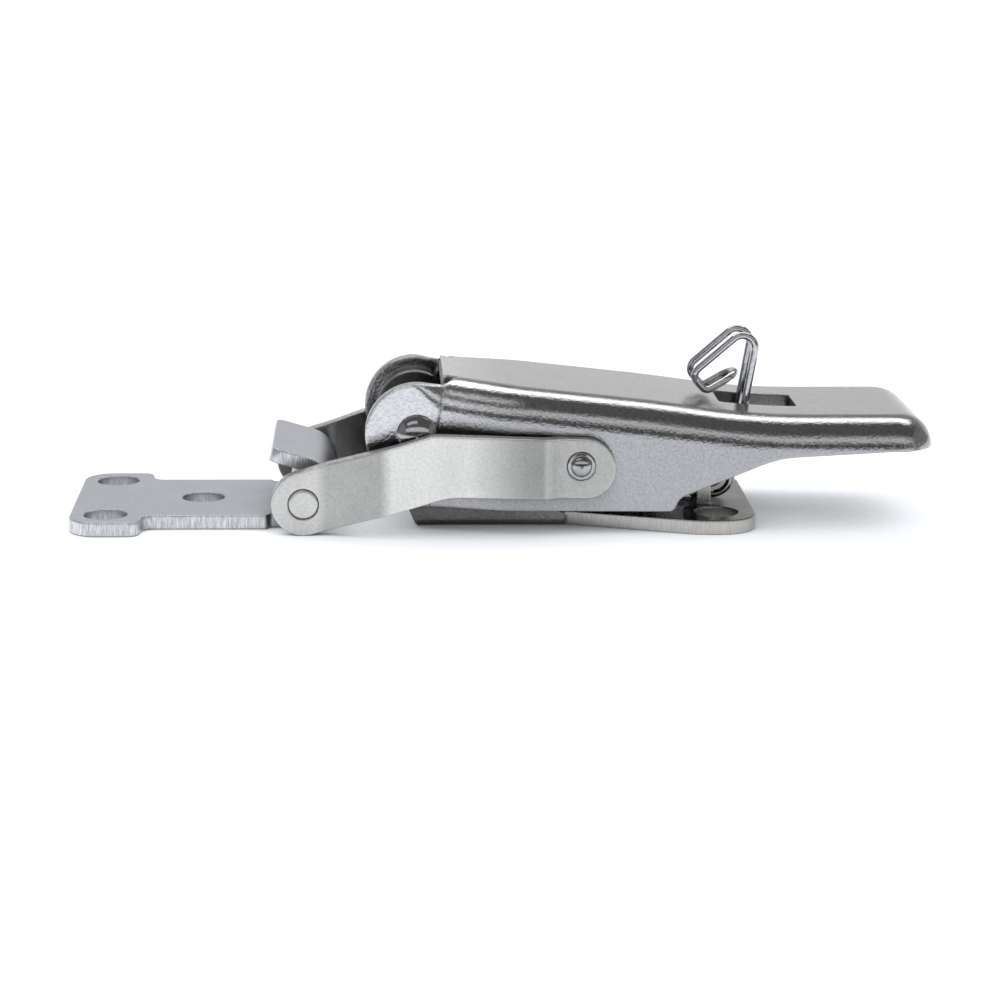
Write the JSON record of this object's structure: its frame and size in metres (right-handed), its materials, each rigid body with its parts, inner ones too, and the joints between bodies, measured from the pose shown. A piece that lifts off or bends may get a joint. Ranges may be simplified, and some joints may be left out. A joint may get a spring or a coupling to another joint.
{
  "type": "over-centre toggle latch",
  "caption": "Folded sheet-metal over-centre toggle latch: a pressed lever pulls joggled link arms and a cross pin against a rolled hook strike, locked by a wire catch.",
  "frame": {"origin": "midway between the two screw holes in the tail of the base, on the mounting plane", "axes": "+X from the strike towards the tip of the lever, +Z away from the panel; symmetric about the XZ plane"},
  "size_m": [0.1188, 0.0344, 0.0261],
  "materials": {
    "base_sheet": "stainless sheet, as folded, slightly dull",
    "lever_sheet": "stainless sheet, satin, bright on the folds",
    "link_sheet": "stainless sheet, tumbled, fine speckle",
    "strike_sheet": "stainless sheet, matt faces and bright sheared edges",
    "polished_rivet": "stainless rivet, smooth and bright",
    "spring_wire": "drawn stainless spring wire, bright"
  },
  "bodies": {
    "base": {"base_plate": "base_sheet", "handle_pivot_pin": "polished_rivet"},
    "lever": {"lever_handle": "lever_sheet"},
    "links": {"link_pivot_pin": "polished_rivet", "near_link_arm": "link_sheet", "far_link_arm": "link_sheet", "hook_pin": "link_sheet", "strike_plate": "strike_sheet"},
    "catch": {"safety_wire": "spring_wire"}
  },
  "joints": [
    {"name": "handle_pivot", "type": "hinge", "parent": "base", "child": "lever", "pos_m": [-0.0415, 0, 0.0133], "axis": [0, -1, 0], "range_deg": [0, 150]},
    {"name": "link_pivot", "type": "hinge", "parent": "lever", "child": "links", "pos_m": [-0.0193, 0, 0.01], "axis": [0, -1, 0], "range_deg": [-150, 0]},
    {"name": "catch_flex", "type": "hinge", "parent": "base", "child": "catch", "pos_m": [-0.0012, 0, 0.00305], "axis": [0, 1, 0], "range_deg": [0, 15], "stiffness_Nm_per_rad": 0.05, "springref_deg": -2.86}
  ],
  "couplings": [
    {"joint": "link_pivot", "follows": "handle_pivot", "ratio": -1}
  ]
}
